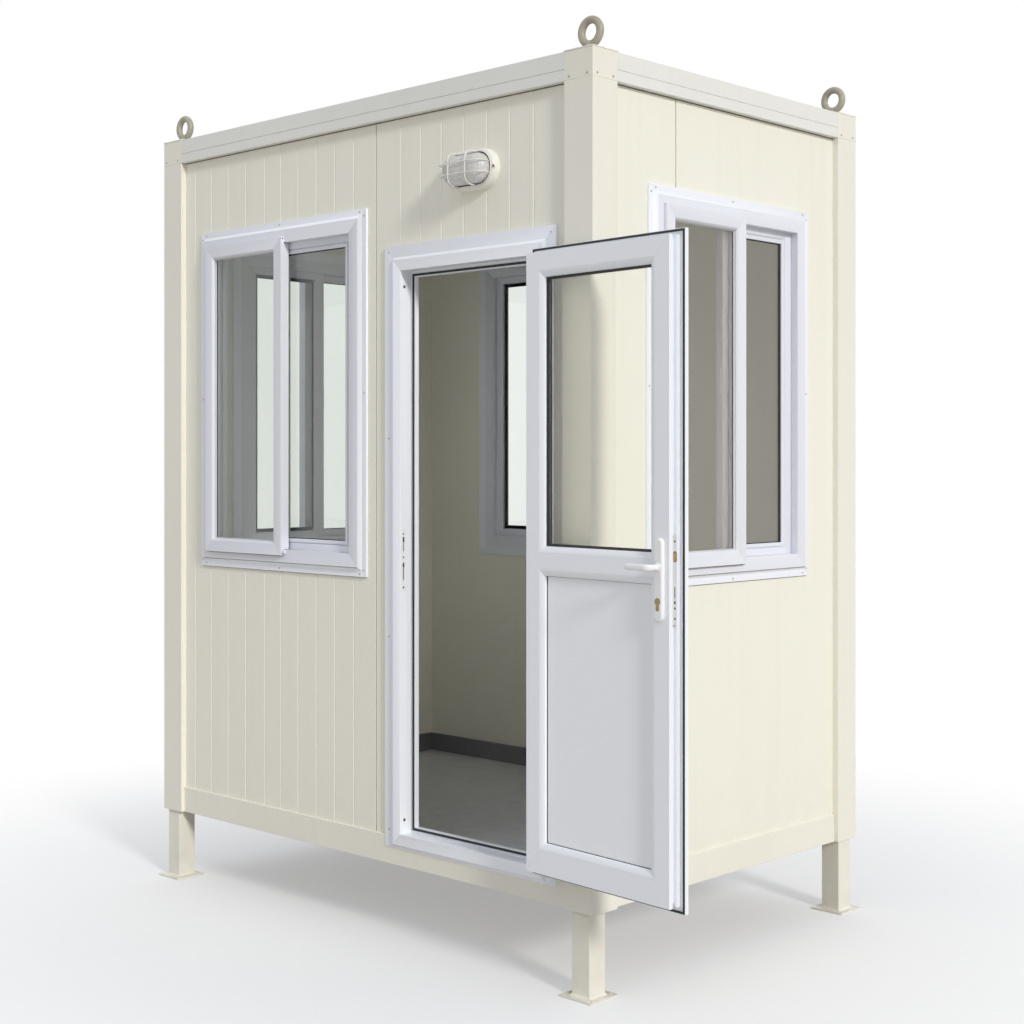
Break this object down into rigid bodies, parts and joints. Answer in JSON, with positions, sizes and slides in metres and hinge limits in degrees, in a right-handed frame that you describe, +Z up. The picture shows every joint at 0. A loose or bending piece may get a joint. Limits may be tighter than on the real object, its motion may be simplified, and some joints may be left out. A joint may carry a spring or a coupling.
{
  "type": "security guard booth",
  "caption": "Steel-framed guard cabin on four legs, with insulated walls, sliding windows on every side, a glazed swing door, a bulkhead lamp and lifting eyes.",
  "frame": {"origin": "on the ground at the centre of the cabin's footprint, which is the centre of the four outermost foot bolts", "axes": "+X along the front wall to the right as seen from outside, +Y from the front wall to the back wall, +Z up"},
  "size_m": [2.745, 1.7012, 3.0822],
  "materials": {
    "black_seal": "black weather seal",
    "brass": "brushed",
    "ceiling_paint": "off-white coated steel face",
    "door_panel": "white insulated panel",
    "floor_deck": "cement-bonded floor board",
    "frame_paint": "cream-white gloss paint on folded steel",
    "glass": "clear float glass",
    "lamp_body": "cream-white moulding",
    "lamp_glass": "ribbed grey-white glass",
    "lamp_wire": "white-coated steel wire",
    "lock_steel": "zinc-plated",
    "panel_paint": "cream-white coated steel face",
    "roof_sheet": "cream-white coated steel sheet",
    "skirting": "dark grey",
    "vinyl_floor": "mid-grey vinyl",
    "white_handle": "white powder coat",
    "white_hinge": "white powder coat",
    "white_trim": "white extruded plastic",
    "white_upvc": "white extruded plastic"
  },
  "bodies": {
    "cabin": {"back_wall_left": "panel_paint", "back_wall_right": "panel_paint", "base_rails": "frame_paint", "ceiling_panel": "ceiling_paint", "corner_caps": "frame_paint", "corner_posts": "frame_paint", "door_frame": "white_upvc", "door_inner_trim": "white_trim", "door_trim": "white_trim", "floor_covering": "vinyl_floor", "floor_deck": "floor_deck", "floor_joists": "frame_paint", "frame_hinges": "white_hinge", "frame_seal": "black_seal", "front_wall_beside_door": "panel_paint", "front_wall_corner": "panel_paint", "front_wall_over_door": "panel_paint", "front_wall_window": "panel_paint", "lamp_base": "lamp_body", "lamp_guard": "lamp_wire", "lamp_lens": "lamp_glass", "left_wall_back": "panel_paint", "left_wall_front": "panel_paint", "legs": "frame_paint", "lifting_eyes": "frame_paint", "lock_keep": "lock_steel", "post_feet": "frame_paint", "right_wall_back": "panel_paint", "right_wall_front": "panel_paint", "roof_flashing": "frame_paint", "roof_sheet": "roof_sheet", "sash_stops": "white_upvc", "skirting": "skirting", "top_rails": "frame_paint", "window_frame_back": "white_upvc", "window_frame_front": "white_upvc", "window_frame_left": "white_upvc", "window_frame_right": "white_upvc", "window_glass_back": "glass", "window_glass_front": "glass", "window_glass_left": "glass", "window_glass_right": "glass", "window_grips": "white_upvc", "window_inner_trims": "white_trim", "window_sashes_back": "white_upvc", "window_sashes_front": "white_upvc", "window_sashes_left": "white_upvc", "window_sashes_right": "white_upvc", "window_trims": "white_trim"},
    "door": {"door_glass": "glass", "door_leaf": "white_upvc", "door_lock": "lock_steel", "door_panel": "door_panel", "handle_plates": "white_handle", "leaf_hinges": "white_hinge", "leaf_seal": "black_seal", "lock_cylinder": "brass"},
    "door_handle": {"door_handle": "white_handle"}
  },
  "joints": [
    {"name": "door_swing", "type": "hinge", "parent": "cabin", "child": "door", "pos_m": [0.918, -0.765, 1.364], "axis": [0, 0, -1], "range_deg": [0, 175.4]},
    {"name": "handle_turn", "type": "hinge", "parent": "door", "child": "door_handle", "pos_m": [1.52404, -0.81376, 1.375], "axis": [-0.0802, -0.9968, 0], "range_deg": [0, 40], "stiffness_Nm_per_rad": 1.2, "springref_deg": -28.65}
  ]
}
